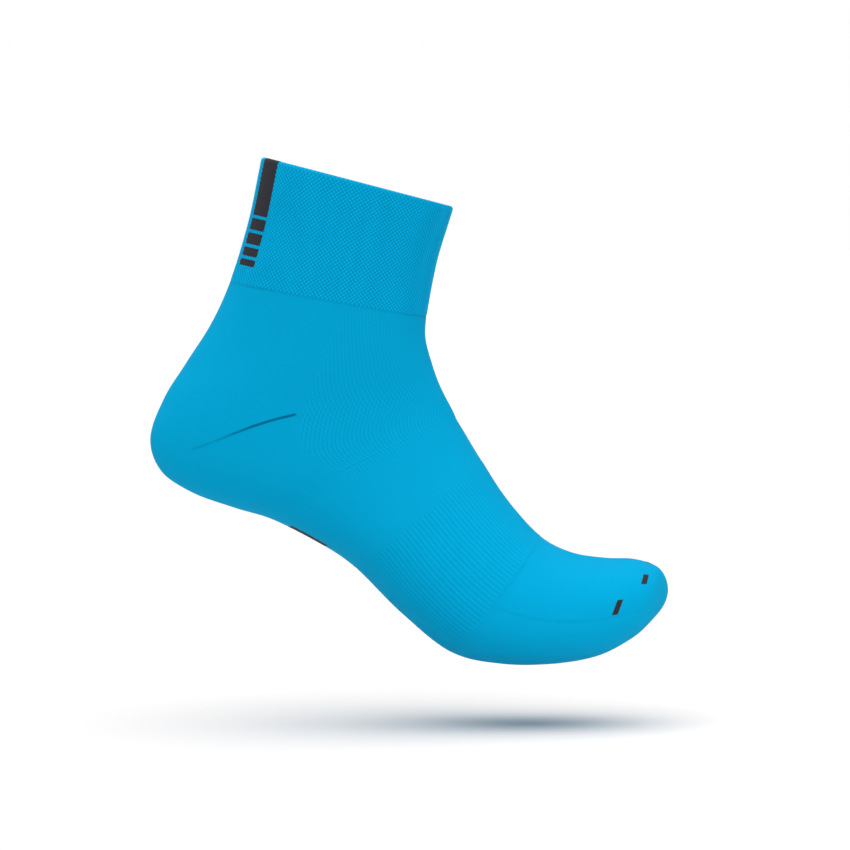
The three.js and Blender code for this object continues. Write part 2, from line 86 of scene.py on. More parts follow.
@dataclass(frozen=True)
class Loft:
    """The sock's outside as a smooth surface through its girths, in millimetres and degrees."""

    leg_lean: float = 15.0
    foot_pitch: float = 16.0
    leg_height: float = 143.5
    heel_setback: float = 64.0
    foot_length: float = 257.0
    cuff_height: float = 58.0
    cuff_depth: float = 93.8
    cuff_width: float = 74.0
    ankle_width: float = 70.0
    heel_depth: float = 139.2
    heel_width: float = 67.0
    ball_depth: float = 69.2
    ball_width: float = 95.0
    cuff_thickness: float = 2.8
    cuff_end: float = 2.0
    heel_top: float = 4.0
    gore: float = 6.1
    heel_end: float = 8.5
    band_start: float = 10.0
    band_end: float = 12.0
    toe_start: float = 14.0
    tip: float = 20.0
    eyelet: float = 0.12
    gore_sag: float = 0.42
    side_turns: tuple[float, float] = (79.0, 95.0)

    def girths(self) -> Array:
        """Rows of x, z, tilt, depth squared, width squared, corner and spread."""
        hd, hw, aw = self.heel_depth, self.heel_width, self.ankle_width
        bd, bw = self.ball_depth, self.ball_width
        leg = [
            (self.cuff_thickness / 2, -0.3, 0.4, self.cuff_depth, self.cuff_width, 2.1, 0),
            (self.cuff_height / 2, 0.1, 3, self.cuff_depth - 2.4, self.cuff_width - 3, 2.1, -0.03),
            (self.cuff_height, 0.5, 5, self.cuff_depth + 1, aw - 1, 2.1, -0.06),
            (self.leg_height * 0.51, -0.8, 12, hd - 37.7, aw - 1, 2.1, -0.1),
            (self.leg_height * 0.604, -2, 17.7, hd - 23.8, aw - 0.5, 2.1, -0.1),
            (self.leg_height * 0.691, -3, 21.7, hd - 10.7, aw - 0.5, 2.15, -0.05),
            (self.leg_height * 0.783, -1.7, 26.2, hd, aw - 1, 2.2, 0),
        ]
        foot = [
            (0.265, 23.5, 31.6, hd, hw + 1.5, 2.2, 0.04),
            (0.306, 18.1, 34.6, hd - 9.4, hw + 1, 2.2, 0.08),
            (0.353, 15.9, 39.3, hd - 24.8, hw + 1, 2.2, 0.12),
            (0.395, 14.5, 44.9, bd + 30.5, hw + 2, 2.2, 0.14),
            (0.458, 8.4, 50.9, bd + 17.4, bw - 22, 2.25, 0.15),
            (0.516, 0.8, 56.7, bd + 9.2, bw - 14, 2.3, 0.15),
            (0.599, -13.4, 63.7, bd + 4.4, bw - 4, 2.35, 0.14),
            (0.692, -25.4, 68.6, bd, bw, 2.4, 0.12),
            (0.772, -26.6, 73.8, bd - 7.2, bw - 2, 2.4, 0.1),
            (0.849, -22.4, 79.3, bd - 13.5, bw - 8, 2.4, 0.08),
            (0.911, -16.2, 85.6, bd - 20.3, bw - 20, 2.35, 0.06),
            (0.959, -9.7, 89.1, bd - 33.1, bw - 38, 2.3, 0.03),
            (0.984, -5.6, 91.7, bd - 47, bw - 60, 2.2, 0),
            (1.0, -4.7, 91, 0, 0, 2, 0),
        ]
        lean, pitch = math.radians(self.leg_lean), math.radians(self.foot_pitch)
        rows = []
        for down, forward, tilt, depth, width, corner, spread in leg:
            x = forward * math.cos(lean) - down * math.sin(lean)
            z = -forward * math.sin(lean) - down * math.cos(lean)
            turn = math.radians(tilt - self.leg_lean)
            rows.append((x, z, turn, depth**2, width**2, corner, spread))
        heel_x = -self.heel_setback * math.cos(lean) - self.leg_height * math.sin(lean)
        heel_z = self.heel_setback * math.sin(lean) - self.leg_height * math.cos(lean)
        for share, height, tilt, depth, width, corner, spread in foot:
            along = share * self.foot_length
            x = heel_x + along * math.cos(pitch) + height * math.sin(pitch)
            z = heel_z - along * math.sin(pitch) + height * math.cos(pitch)
            turn = math.radians(tilt - self.foot_pitch)
            rows.append((x, z, turn, depth**2, width**2, corner, spread))
        return np.array(rows)

    def measure(self, place: Array) -> Array:
        """Every girth measure at any place, on a smooth curve through the girths.

        Args:
            place: places of any shape.

        Returns:
            An array of the same shape with the seven measures on a last axis.
        """
        rows = self.girths()
        first = 2 * rows[0] - rows[1]
        last = 2 * rows[-1] - rows[-2]
        knots = np.vstack([first, rows, last])
        i = np.clip(np.floor(place).astype(int), 0, len(rows) - 2)
        t = (place - i)[..., None]
        before, here, after, beyond = (knots[i + k] for k in range(4))
        start, end = (after - before) / 2, (beyond - here) / 2
        bend = 3 * (after - here) - 2 * start - end
        twist = start + end - 2 * (after - here)
        return here + t * (start + t * (bend + t * twist))

    def skin(self, place: Array, turn: Array) -> Array:
        """Points of the outside, in millimetres.

        Args:
            place: places down the sock.
            turn: turns round it in degrees, of the same shape.

        Returns:
            Points on a last axis of three.
        """
        place, turn = np.broadcast_arrays(np.asarray(place, float), np.asarray(turn, float))
        x, z, tilt, depth2, width2, corner, spread = np.moveaxis(self.measure(place), -1, 0)
        angle = np.radians(turn)
        ahead = np.sign(np.cos(angle)) * np.abs(np.cos(angle)) ** (2 / corner)
        aside = np.sign(np.sin(angle)) * np.abs(np.sin(angle)) ** (2 / corner)
        depth, width = np.sqrt(np.maximum(depth2, 0)), np.sqrt(np.maximum(width2, 0))
        points = (
            x + depth / 2 * ahead * np.cos(tilt),
            width / 2 * aside * (1 - spread * ahead),
            z + depth / 2 * ahead * np.sin(tilt),
        )
        return np.stack(points, -1)

    def outward(self, place: Array, turn: Array) -> Array:
        """Directions out of the fabric, of length one, at spots of any shape."""
        place, turn = np.broadcast_arrays(np.asarray(place, float), np.asarray(turn, float))
        step = 0.01  # girths either side of the spot
        low = np.minimum(place + step, self.tip)
        down = self.skin(low, turn) - self.skin(place - step, turn)
        around = self.skin(place, turn + 1) - self.skin(place, turn - 1)
        normal = np.cross(down, around)
        size = np.linalg.norm(normal, axis=-1, keepdims=True)
        tilt = self.measure(np.array(self.tip))[2]
        at_tip = np.array([math.sin(tilt), 0, -math.cos(tilt)])
        return np.where(size > TINY, normal / np.maximum(size, TINY), at_tip)

    def leg_axis(self) -> Array:
        """The direction up the leg."""
        lean = math.radians(self.leg_lean)
        return np.array([math.sin(lean), 0, math.cos(lean)])

    def cuff_place(self, distance: Array | float) -> Array | float:
        """The place at a distance down the cuff from the leg opening."""
        middle = self.cuff_thickness / 2
        return self.cuff_end * (distance - middle) / (self.cuff_height - middle)

    def side_turn(self, place: Array) -> Array:
        """Turn of the line where the front needles meet the rear ones."""
        first, last = self.side_turns
        share = (place - self.cuff_end) / (self.band_start - self.cuff_end)
        return first + (last - first) * smooth_step(share)

    def heel_top_at(self, share: Array) -> Array:
        """Place of the heel pocket's upper edge at a share of the way round the rear needles."""
        start = self.gore - self.eyelet
        return start + (self.heel_top - start) * np.sin(math.pi * share)

    def heel_end_at(self, share: Array) -> Array:
        """Place of the heel pocket's lower edge at a share of the way round the rear needles."""
        start = self.gore + self.eyelet
        return start + (self.heel_end - start) * np.sin(math.pi * share)

    def gore_at(self, share: Array) -> Array:
        """Place of the heel's suture line at a share of the way round the rear needles."""
        return self.gore + self.gore_sag * np.sin(2 * math.pi * share) ** 2


# ---- Knitted relief, in millimetres over the plain fabric ----


class Stitch(Enum):
    """The stitches that the panels are knitted in."""

    PLAIN = "plain"
    HONEYCOMB = "honeycomb"
    RIB_MESH = "rib mesh"
    OPEN_MESH = "open mesh"


@dataclass(frozen=True)
class StitchRelief:
    """How far each stitch stands out of the fabric."""

    stitch: Stitch
    height: float = 0.0  # mm
    round_repeats: float = 120.0  # repeats round a full girth
    down_pitch: float = 2.0  # mm along the sock

    def at(self, share: Array, down: Array) -> Array:
        """Height over the plain fabric.

        Args:
            share: arc length round the sock as a share of the girth.
            down: distance down the sock in millimetres.

        Returns:
            Heights in millimetres.
        """
        a = 2 * math.pi * self.round_repeats * share
        b = 2 * math.pi * down / self.down_pitch
        if self.stitch is Stitch.HONEYCOMB:
            return self.height * np.cos(a) * np.cos(b)
        if self.stitch is Stitch.RIB_MESH:
            return self.height * (0.8 * np.cos(a) + 0.35 * np.cos(a / 2 + b) * np.sin(a / 2))
        if self.stitch is Stitch.OPEN_MESH:
            return self.height * (0.65 * np.cos(a + b) + 0.45 * np.cos(a - b / 2))
        return np.zeros(np.broadcast(share, down).shape)

    def shade(self, wale: "Wire", course: "Wire") -> "Wire":
        """The same pattern as a finish sees it, 0 in the hollows and 1 on the crests, for the
        painted shade in the hollows.

        Args:
            wale: the knit map's count of wales round the sock.
            course: the knit map's count of courses down it.

        Returns:
            The pattern's height.
        """
        a = wale * (2 * math.pi * self.round_repeats / FABRIC.wales)
        b = course * (2 * math.pi * FABRIC.course / self.down_pitch)
        if self.stitch is Stitch.HONEYCOMB:
            wave = a.math("COSINE") * b.math("COSINE")
        elif self.stitch is Stitch.RIB_MESH:
            tuck = (a * 0.5 + b).math("COSINE") * (a * 0.5).math("SINE")
            wave = a.math("COSINE") * 0.7 + tuck * 0.3
        else:
            wave = (a + b).math("COSINE") * 0.6 + (a - b * 0.5).math("COSINE") * 0.4
        return wave * 0.5 + 0.5


HONEYCOMB = StitchRelief(Stitch.HONEYCOMB, 0.17, 128, 2.06)
OPEN_MESH = StitchRelief(Stitch.OPEN_MESH, 0.1, 160, 1.7)
RIB_MESH = StitchRelief(Stitch.RIB_MESH, 0.16, 120, 1.3)


# ---- Finishes ----


class Wire:
    """A node socket with Python's arithmetic, each step of which adds a Math node."""

    def __init__(self, tree: bpy.types.NodeTree, socket: bpy.types.NodeSocket) -> None:
        """Wraps a socket of a tree."""
        self.tree, self.socket = tree, socket

    def math(self, operation: str, *others: "Wire | float") -> "Wire":
        """The result of a Math node.

        Args:
            operation: the Math node's operation.
            others: the values or links after this one.

        Returns:
            The node's output.
        """
        values = {0: self, **{i + 1: other for i, other in enumerate(others)}}
        return add_node(self.tree, "ShaderNodeMath", {"operation": operation}, values)

    def __add__(self, other: "Wire | float") -> "Wire":
        """The sum."""
        return self.math("ADD", other)

    __radd__ = __add__

    def __mul__(self, other: "Wire | float") -> "Wire":
        """The product."""
        return self.math("MULTIPLY", other)

    __rmul__ = __mul__

    def __sub__(self, other: "Wire | float") -> "Wire":
        """The difference."""
        return self.math("SUBTRACT", other)

    def __rsub__(self, other: float) -> "Wire":
        """A number minus this."""
        return self * -1.0 + other


def add_node(
    tree: bpy.types.NodeTree,
    kind: str,
    settings: dict[str, object] | None = None,
    values: dict[int | str, object] | None = None,
    output: int | str = 0,
) -> Wire:
    """Adds a node to a tree.

    Args:
        tree: the material's node tree.
        kind: the node's type.
        settings: properties of the node, which are set first.
        values: numbers, colours or wires for its sockets, by index or name.
        output: which output is returned.

    Returns:
        The chosen output.
    """
    node = tree.nodes.new(kind)
    for name, value in (settings or {}).items():
        setattr(node, name, value)
    for key, value in (values or {}).items():
        if isinstance(value, Wire):
            tree.links.new(value.socket, node.inputs[key])
        else:
            node.inputs[key].default_value = value
    return Wire(tree, node.outputs[output])


@dataclass(frozen=True)
class Yarn:
    """A knitted finish: yarn colour, stitch grain, painted shade in its hollows and how the colour
    varies.
    """

    name: str
    slot: str
    colour: Colour
    grain: float = 0.05  # mm of bump that the stitches give
    valley_shade: float = 0.86  # brightness of the painted shade between the stitches
    patchiness: float = 0.05  # slow change of brightness over the fabric
    roughness: float = 0.85
    sheen: float = 0.06
    sheen_roughness: float = 0.5
    gleam: Colour = (0.0, 0.5, 0.9)
    specular: float = 0.03
    relief: StitchRelief | None = None
    depth: float = 0.0  # how much painted shade darkens the hollows of the relief
    shade_fade: tuple[float, float] | None = None  # stitches over which a seam's painted shade fades into the fabric's blue
    leg_slant: float = 1.2  # courses that a stitch's leg climbs over half a wale
    crest_gloss: float = 0.1  # how much smoother the crests are than the hollows
    patches: tuple[float, float, float] = (28.0, 3.0, 0.6)  # noise scale, detail and roughness

    def material(self) -> bpy.types.Material:
        """Builds the finish."""
        made = bpy.data.materials.new(self.name)
        made.use_nodes = True
        tree = made.node_tree
        shader = tree.nodes["Principled BSDF"]
        wale, course = self.counts(tree)
        height = self.stitches(wale, course)
        colour = self.tinted(tree, height, wale, course)
        tree.links.new(colour.socket, shader.inputs["Base Color"])
        rough = height * -self.crest_gloss + (self.roughness + self.crest_gloss / 2)
        tree.links.new(rough.socket, shader.inputs["Roughness"])
        pressed = {"Strength": 1.0, "Distance": self.grain * MM, "Height": height}
        bump = add_node(tree, "ShaderNodeBump", {}, pressed)
        tree.links.new(bump.socket, shader.inputs["Normal"])
        shader.inputs["Sheen Weight"].default_value = self.sheen
        shader.inputs["Sheen Roughness"].default_value = self.sheen_roughness
        shader.inputs["Sheen Tint"].default_value = (*self.gleam, 1.0)
        shader.inputs["Specular IOR Level"].default_value = self.specular
        return made

    @staticmethod
    def counts(tree: bpy.types.NodeTree) -> tuple[Wire, Wire]:
        """The knit map's count of wales round the sock and of courses down it."""
        knit = add_node(tree, "ShaderNodeUVMap", {"uv_map": KNIT_MAP})
        wale = add_node(tree, "ShaderNodeSeparateXYZ", {}, {0: knit})
        return wale, Wire(tree, wale.socket.node.outputs[1])

    def stitches(self, wale: Wire, course: Wire) -> Wire:
        """Height of the knitted loops, 0 to 1, with two slanted legs to each wale."""
        tent = wale.math("PINGPONG", 0.5)  # slants the legs to a V
        leg = (wale * (4 * math.pi)).math("SINE").math("ABSOLUTE")
        climb = (course + tent * self.leg_slant) * (2 * math.pi)
        loop = climb.math("COSINE") * 0.5 + 0.5
        return leg * 0.5 + loop * 0.5

    def tinted(self, tree: bpy.types.NodeTree, height: Wire, wale: Wire, course: Wire) -> Wire:
        """The yarn's colour, with painted shade between the stitches and in the relief's hollows,
        and slowly uneven over the fabric.

        Args:
            tree: the material's node tree.
            height: the stitches' height.
            wale: the knit map's count of wales.
            course: its count of courses.

        Returns:
            The colour.
        """
        coordinates = add_node(tree, "ShaderNodeTexCoord", {}, {}, "Object")
        noise = dict(zip(("Scale", "Detail", "Roughness"), self.patches))
        slow = add_node(tree, "ShaderNodeTexNoise", {}, {"Vector": coordinates, **noise})
        # painted shade: darker where the stitches sink, plus the fabric's slow uneven tone from the
        # noise
        light = height * (1 - self.valley_shade) + self.valley_shade + (slow - 0.5) * self.patchiness
        # painted shade in the hollows of the stitch relief
        if self.relief:
            light = light * (self.relief.shade(wale, course) * self.depth + (1 - self.depth / 2))
        thread: Wire | tuple[float, ...] = (*self.colour, 1.0)
        # a seam's painted shade fades into the fabric's blue along it
        if self.shade_fade:
            ends = {"From Min": self.shade_fade[0], "From Max": self.shade_fade[1]}
            shade_faded = add_node(tree, "ShaderNodeMapRange", {}, {"Value": course, **ends})
            thread = self.mixed(tree, "MIX", shade_faded, thread, (*BLUE, 1.0))
        shade = add_node(tree, "ShaderNodeCombineColor", {}, {0: light, 1: light, 2: light})
        return self.mixed(tree, "MULTIPLY", 1.0, thread, shade)

    @staticmethod
    def mixed(
        tree: bpy.types.NodeTree, way: str, factor: object, first: object, second: object
    ) -> Wire:
        """Two colours mixed in one of the Mix node's ways, whose colours are sockets 6 and 7."""
        settings = {"data_type": "RGBA", "blend_type": way}
        return add_node(tree, "ShaderNodeMix", settings, {"Factor": factor, 6: first, 7: second}, 2)


BLUE = (0.0, 0.34, 0.605)
JERSEY = Yarn("jersey_yarn", "jersey", BLUE, valley_shade=0.82)
# depth sets the painted shade in the hollows of each stitch relief
INSTEP = Yarn("open_mesh_yarn", "mesh", BLUE, valley_shade=0.82, relief=OPEN_MESH, depth=0.24)
RIBBED = Yarn("rib_mesh_yarn", "mesh", BLUE, valley_shade=0.82, relief=RIB_MESH, depth=0.24)
CUFF = Yarn("cuff_yarn", "cuff", (0.0, 0.325, 0.59), valley_shade=0.9, relief=HONEYCOMB, depth=0.75)
# the closing row's darker blue is painted shade along the cuff's lower edge
CLOSING_SHADE = Yarn("closing_row_painted_shade", "cuff", (0.0, 0.29, 0.52), grain=0.06, patchiness=0.5)
# the heel suture's dark blue is painted shade along its line, fading into the fabric
HEEL_LINE_SHADE = Yarn(
    "heel_line_painted_shade", "seam", (0.0, 0.16, 0.33), grain=0.06, valley_shade=0.7, shade_fade=(14.0, 30.0)
)
SEAM_SOFT = Yarn("soft_seam_yarn", "seam", BLUE, grain=0.06, valley_shade=0.85)
DARK = Yarn(
    "dark_yarn", "dark_yarn", (0.008, 0.006, 0.014), grain=0.03, valley_shade=0.6, sheen=0.0, specular=0.0
)
ELASTIC = Yarn("elastic_yarn", "elastic", (0.69, 0.8, 0.85), patchiness=0.02, roughness=0.6)


# ---- Modelling helpers ----


def started(operator: Callable[..., object], **settings: object) -> bpy.types.Object:
    """Adds a primitive with nothing else selected.

    Args:
        operator: the bpy.ops call that adds it.
        settings: its arguments.

    Returns:
        The new object.
    """
    bpy.ops.object.select_all(action="DESELECT")
    operator(**settings)
    return bpy.context.view_layer.objects.active


def coordinates_of(obj: bpy.types.Object) -> Array:
    """The vertex coordinates of an object's mesh."""
    flat = np.empty(len(obj.data.vertices) * 3)
    obj.data.vertices.foreach_get("co", flat)
    return flat.reshape(-1, 3)


def started_grid(columns: int, rows: int) -> tuple[bpy.types.Object, Array, Array]:
    """Adds a flat grid two units wide.

    Args:
        columns: faces across it.
        rows: faces along it.

    Returns:
        The grid, and the x and y of each vertex, from -1 to 1.
    """
    add = bpy.ops.mesh.primitive_grid_add
    grid = started(add, x_subdivisions=columns, y_subdivisions=rows, size=2)
    at = coordinates_of(grid)
    return grid, at[:, 0], at[:, 1]


def thicken(obj: bpy.types.Object, thickness: float) -> None:
    """Gives a sheet a thickness in millimetres, on the side away from its faces."""
    solidify = obj.modifiers.new("thickness", "SOLIDIFY")
    solidify.thickness = thickness * MM
    solidify.offset = -1
    bpy.ops.object.modifier_apply(modifier=solidify.name)


def place_vertices(obj: bpy.types.Object, points: Array) -> None:
    """Moves every vertex to its point, given in millimetres."""
    obj.data.vertices.foreach_set("co", (points * MM).ravel())
    obj.data.update()


def map_knit(obj: bpy.types.Object, wale: Array, course: Array, repeat: float = 0.0) -> None:
    """Gives an object its knit UV map.

    Args:
        obj: the mesh object.
        wale: wale count at each vertex.
        course: course count at each vertex.
        repeat: the wales in a full girth where the piece closes round the sock, otherwise 0.
    """
    mesh = obj.data
    while mesh.uv_layers:
        mesh.uv_layers.remove(mesh.uv_layers[0])
    layer = mesh.uv_layers.new(name=KNIT_MAP)
    corner = np.empty(len(mesh.loops), int)
    mesh.loops.foreach_get("vertex_index", corner)
    starts = np.empty(len(mesh.polygons), int)
    mesh.polygons.foreach_get("loop_start", starts)
    u = wale[corner].astype(float)
    if repeat:
        highest = np.maximum.reduceat(u, starts)
        sizes = np.diff(np.append(starts, len(corner)))
        u = np.where(np.repeat(highest, sizes) - u > repeat / 2, u + repeat, u)
    uv = np.stack([u, course[corner]], -1)
    layer.data.foreach_set("uv", uv.ravel())


def finish_piece(obj: bpy.types.Object, name: str, yarn: Yarn, *nodes: str) -> bpy.types.Object:
    """Names, dresses and attaches a piece to the body, and hides the CAD nodes it stands for.

    Args:
        obj: the piece.
        name: its name.
        yarn: its finish.
        nodes: the CAD nodes that it stands for.

    Returns:
        The piece.
    """
    obj.name = obj.data.name = name
    obj.data.materials.clear()
    found = bpy.data.materials.get(yarn.name) or yarn.material()
    obj.data.materials.append(found)
    bpy.ops.object.select_all(action="DESELECT")
    obj.select_set(True)
    bpy.context.view_layer.objects.active = obj
    bpy.ops.object.shade_smooth_by_angle(angle=math.radians(SMOOTH_BELOW))
    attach(obj, BODY)
    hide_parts(*nodes)
    log.info("%s: %d faces", name, len(obj.data.polygons))
    return obj


@dataclass(frozen=True)
class Fabric:
    """What all knitted pieces share: the loft, the needles and the single fabric's thickness."""

    loft: Loft = field(default_factory=Loft)
    thickness: float = 1.2
    wales: int = 240  # round a full girth
    course: float = 0.62  # mm down the sock
    first_sample: float = -0.2  # girths, a little above the leg opening
    samples: int = 810  # down the whole sock

    def share(self, place: Array, turn: Array) -> Array:
        """Arc length from turn 0 as a share of the girth, at spots of any shape."""
        sampled = np.linspace(0, 360, 361)
        rows, which = np.unique(np.round(place, 3).ravel(), return_inverse=True)
        points = self.loft.skin(rows[:, None], sampled[None, :])
        run = np.linalg.norm(np.diff(points, axis=1), axis=-1).cumsum(1)
        run = np.hstack([np.zeros((len(rows), 1)), run])
        run = run / np.maximum(run[:, -1:], TINY)
        flat = np.mod(turn, 360).ravel()
        low = np.floor(flat).astype(int)
        part = flat - low
        here, after = run[which, low], run[which, np.minimum(low + 1, 360)]
        whole = np.floor(turn / 360).ravel()
        return (whole + here + part * (after - here)).reshape(np.shape(turn))

    def down(self, place: Array, turn: float = 90.0) -> Array:
        """Distance down the sock's skin from the leg opening, along one turn."""
        sampled = np.linspace(self.first_sample, self.loft.tip, self.samples)
        points = self.loft.skin(sampled, np.full_like(sampled, turn))
        run = np.append(0, np.linalg.norm(np.diff(points, axis=0), axis=-1).cumsum())
        return np.interp(place, sampled, run)

    def point(self, place: Array, turn: Array, depth: Array | float) -> Array:
        """Points at a depth under the sock's outside, in millimetres."""
        inwards = np.broadcast_to(np.asarray(depth, float), np.shape(place))[..., None]
        return self.loft.skin(place, turn) - self.loft.outward(place, turn) * inwards


FABRIC = Fabric()


def edge_fade(v: Array, length: float, width: float = 1.2) -> Array:
    """1 inside a piece and 0 at its two ends, over a width in millimetres.

    Args:
        v: share of the way along the piece.
        length: the piece's length in millimetres.
        width: how far the fade reaches in.

    Returns:
        Weights from 0 to 1.
    """
    return smooth_step(np.minimum(v, 1 - v) * length / width)


@dataclass
class Ring:
    """A ring of fabric whose closed section is the same at every turn round the sock."""

    name: str
    node: str
    yarn: Yarn
    columns: int
    relief: StitchRelief = StitchRelief(Stitch.PLAIN)

    def section(self) -> tuple[Array, Array]:
        """Rows of the section's face and back, each as place, depth and rise up the leg."""
        raise NotImplementedError

    def lift(self, face: Array, share: Array, down: Array, turn: Array) -> Array:
        """Height of the face over the plain fabric."""
        return self.relief.at(share, down)

    def build(self) -> bpy.types.Object:
        """Builds the ring from a torus, whose vertices give the turn and the section's row."""
        face, back = self.section()
        section = np.vstack([face, back])
        count = len(section)
        ring = started(
            bpy.ops.mesh.primitive_torus_add,
            major_segments=self.columns,
            minor_segments=count,
            major_radius=1.0,
            minor_radius=0.25,
        )
        at = coordinates_of(ring)
        around = np.arctan2(at[:, 1], at[:, 0]) * self.columns / (2 * math.pi)
        turn = np.round(around) % self.columns * 360 / self.columns
        minor = np.arctan2(at[:, 2], np.hypot(at[:, 0], at[:, 1]) - 1) * count / (2 * math.pi)
        index = np.round(minor).astype(int) % count
        place, depth, rise, angle = section[index].T
        share = FABRIC.share(place, turn)
        down = FABRIC.down(place)
        on_face = index < len(face)
        lift = np.where(on_face, self.lift(section[index], share, down, turn), 0.0)
        outwards = lift * np.cos(angle)
        points = FABRIC.point(place, turn, depth - outwards)
        points += FABRIC.loft.leg_axis() * (rise + lift * np.sin(angle))[:, None]
        place_vertices(ring, points)
        outside = on_face & (np.abs(angle) < OUTER_FACE)
        turn_outwards(ring, outer_face(ring, outside), place, turn)
        map_knit(ring, share * FABRIC.wales, down / FABRIC.course, FABRIC.wales)
        return finish_piece(ring, self.name, self.yarn, self.node)


@dataclass
class Sleeve(Ring):
    """A plain ring between two places."""

    first: float = 0.0
    last: float = 1.0
    rows: int = 10
    outside: float = 0.0
    inside: float = 1.2
    back_rows: int = 6

    def section(self) -> tuple[Array, Array]:
        """Rows of the face and the back."""
        face = self.side(np.linspace(self.first, self.last, self.rows + 1), self.outside)
        back = self.side(np.linspace(self.last, self.first, self.back_rows + 1), self.inside)
        return face, back

    @staticmethod
    def side(places: Array, depth: float) -> Array:
        """Section rows along one side of the fabric."""
        return np.stack([places, np.full_like(places, depth), 0 * places, 0 * places], -1)

    def lift(self, face: Array, share: Array, down: Array, turn: Array) -> Array:
        """Height of the face over the plain fabric, none at the ring's two edges."""
        length = abs(float(FABRIC.down(self.last) - FABRIC.down(self.first)))
        along = (face[:, 0] - self.first) / (self.last - self.first)
        return self.relief.at(share, down) * edge_fade(np.clip(along, 0, 1), length)


@dataclass(frozen=True)
class CuffFold:
    """The way up the cuff's outside, over the fold and down inside, for the outer layer."""

    closing: float = 1.4  # height of the row that closes the doubled cuff
    turned: float = 5.0  # how far the fold reaches down inside
    ply: float = 0.8

    @property
    def middle(self) -> float:
        """Half the cuff's thickness, which is the fold's radius."""
        return FABRIC.loft.cuff_thickness / 2

    @property
    def outside(self) -> float:
        """Length of the way up the outside."""
        return FABRIC.loft.cuff_height - self.closing - self.middle

    @property
    def length(self) -> float:
        """Length of the whole way."""
        return self.outside + math.pi * self.middle + self.turned - self.middle

    def along(self, way: Array) -> tuple[Array, Array]:
        """Distance from the leg opening, and angle over the fold, at lengths of the way.

        Args:
            way: lengths from the cuff's lower edge in millimetres.

        Returns:
            Distances in millimetres and angles in radians, 0 outside and pi inside.
        """
        arc = math.pi * self.middle
        angle = np.clip((way - self.outside) / self.middle, 0, math.pi)
        distance = self.middle + np.maximum(self.outside - way, 0)
        distance = distance + np.maximum(way - self.outside - arc, 0)
        return distance, angle

    def rows(self, way: Array, radius: float) -> Array:
        """Section rows at a radius from the fold's middle."""
        distance, angle = self.along(way)
        depth = self.middle - radius * np.cos(angle)
        rise = radius * np.sin(angle)
        return np.stack([FABRIC.loft.cuff_place(distance), depth, rise, angle], -1)


@dataclass
class CuffOuter(Ring):
    """The cuff's outer layer, folded over at the leg opening."""

    fold: CuffFold = field(default_factory=CuffFold)
    step: float = 0.51  # mm between rows
    back_rows: int = 15
    recess: float = 0.16  # mm that the fabric is set back under dark yarn
    margin: float = 0.3  # mm of plain fabric left under the dark yarn's edges
    hem_fade: float = 1.2  # mm over which the relief fades at the closing row
    stripes: tuple[tuple[float, float], ...] = ()
    stripe_turn: float = 180.0
    stripe_width: float = 0.0

    def section(self) -> tuple[Array, Array]:
        """Rows up the outside and down inside, and back again."""
        way = np.linspace(0, self.fold.length, int(self.fold.length / self.step) + 1)
        back = np.linspace(self.fold.length, 0, self.back_rows + 1)
        middle = self.fold.middle
        return self.fold.rows(way, middle), self.fold.rows(back, middle - self.fold.ply)

    def lift(self, face: Array, share: Array, down: Array, turn: Array) -> Array:
        """The honeycomb's height, set back where dark yarn takes the fabric's place."""
        place, _, _, angle = face.T
        loft, middle = FABRIC.loft, self.fold.middle
        distance = middle + place / loft.cuff_end * (loft.cuff_height - middle)
        inner = np.cos(angle / 2) ** 2
        above_hem = loft.cuff_height - self.fold.closing - distance
        bottom = np.clip(above_hem / self.hem_fade, 0, 1)
        lift = self.relief.at(share, down) * inner * bottom
        half = turn_of(self.stripe_width / 2 - self.margin, place, self.stripe_turn)
        beside = np.abs(turn - self.stripe_turn) < half
        for start, end in self.stripes:
            within = (distance < end - self.margin) & (distance > start + self.margin)
            lift = np.where(beside & within, -self.recess, lift)
        return lift


def turn_of(length: float, place: Array, turn: float) -> Array:
    """Degrees of turn that a length in millimetres is, at places down one turn."""
    half = 0.5  # degrees either side, so the ends are one degree apart
    ends = FABRIC.loft.skin(place, turn + half) - FABRIC.loft.skin(place, turn - half)
    return length / np.linalg.norm(ends, axis=-1)


def place_of(length: float, place: float, turn: float) -> float:
    """Girths that a length in millimetres down the sock is, at one spot."""
    step = 0.05  # girths either side of the spot
    ends = FABRIC.loft.skin(place + step, turn) - FABRIC.loft.skin(place - step, turn)
    return 2 * step * length / float(np.linalg.norm(ends))


def turn_outwards(obj: bpy.types.Object, face: int, place: Array, turn: Array) -> None:
    """Turns a mesh over where a face of its outside points into the sock.

    Args:
        obj: the mesh object.
        face: index of a face that lies outside.
        place: place of each vertex.
        turn: turn of each vertex.
    """
    polygon = obj.data.polygons[face]
    corner = [polygon.vertices[0]]
    out = FABRIC.loft.outward(place[corner], turn[corner])[0]
    if polygon.normal.dot(Vector(out)) < 0:
        obj.data.flip_normals()


def outer_face(obj: bpy.types.Object, outside: Array) -> int:
    """Index of the first face whose corners are all among the outside vertices."""
    faces = obj.data.polygons
    return next(face.index for face in faces if all(outside[c] for c in face.vertices))


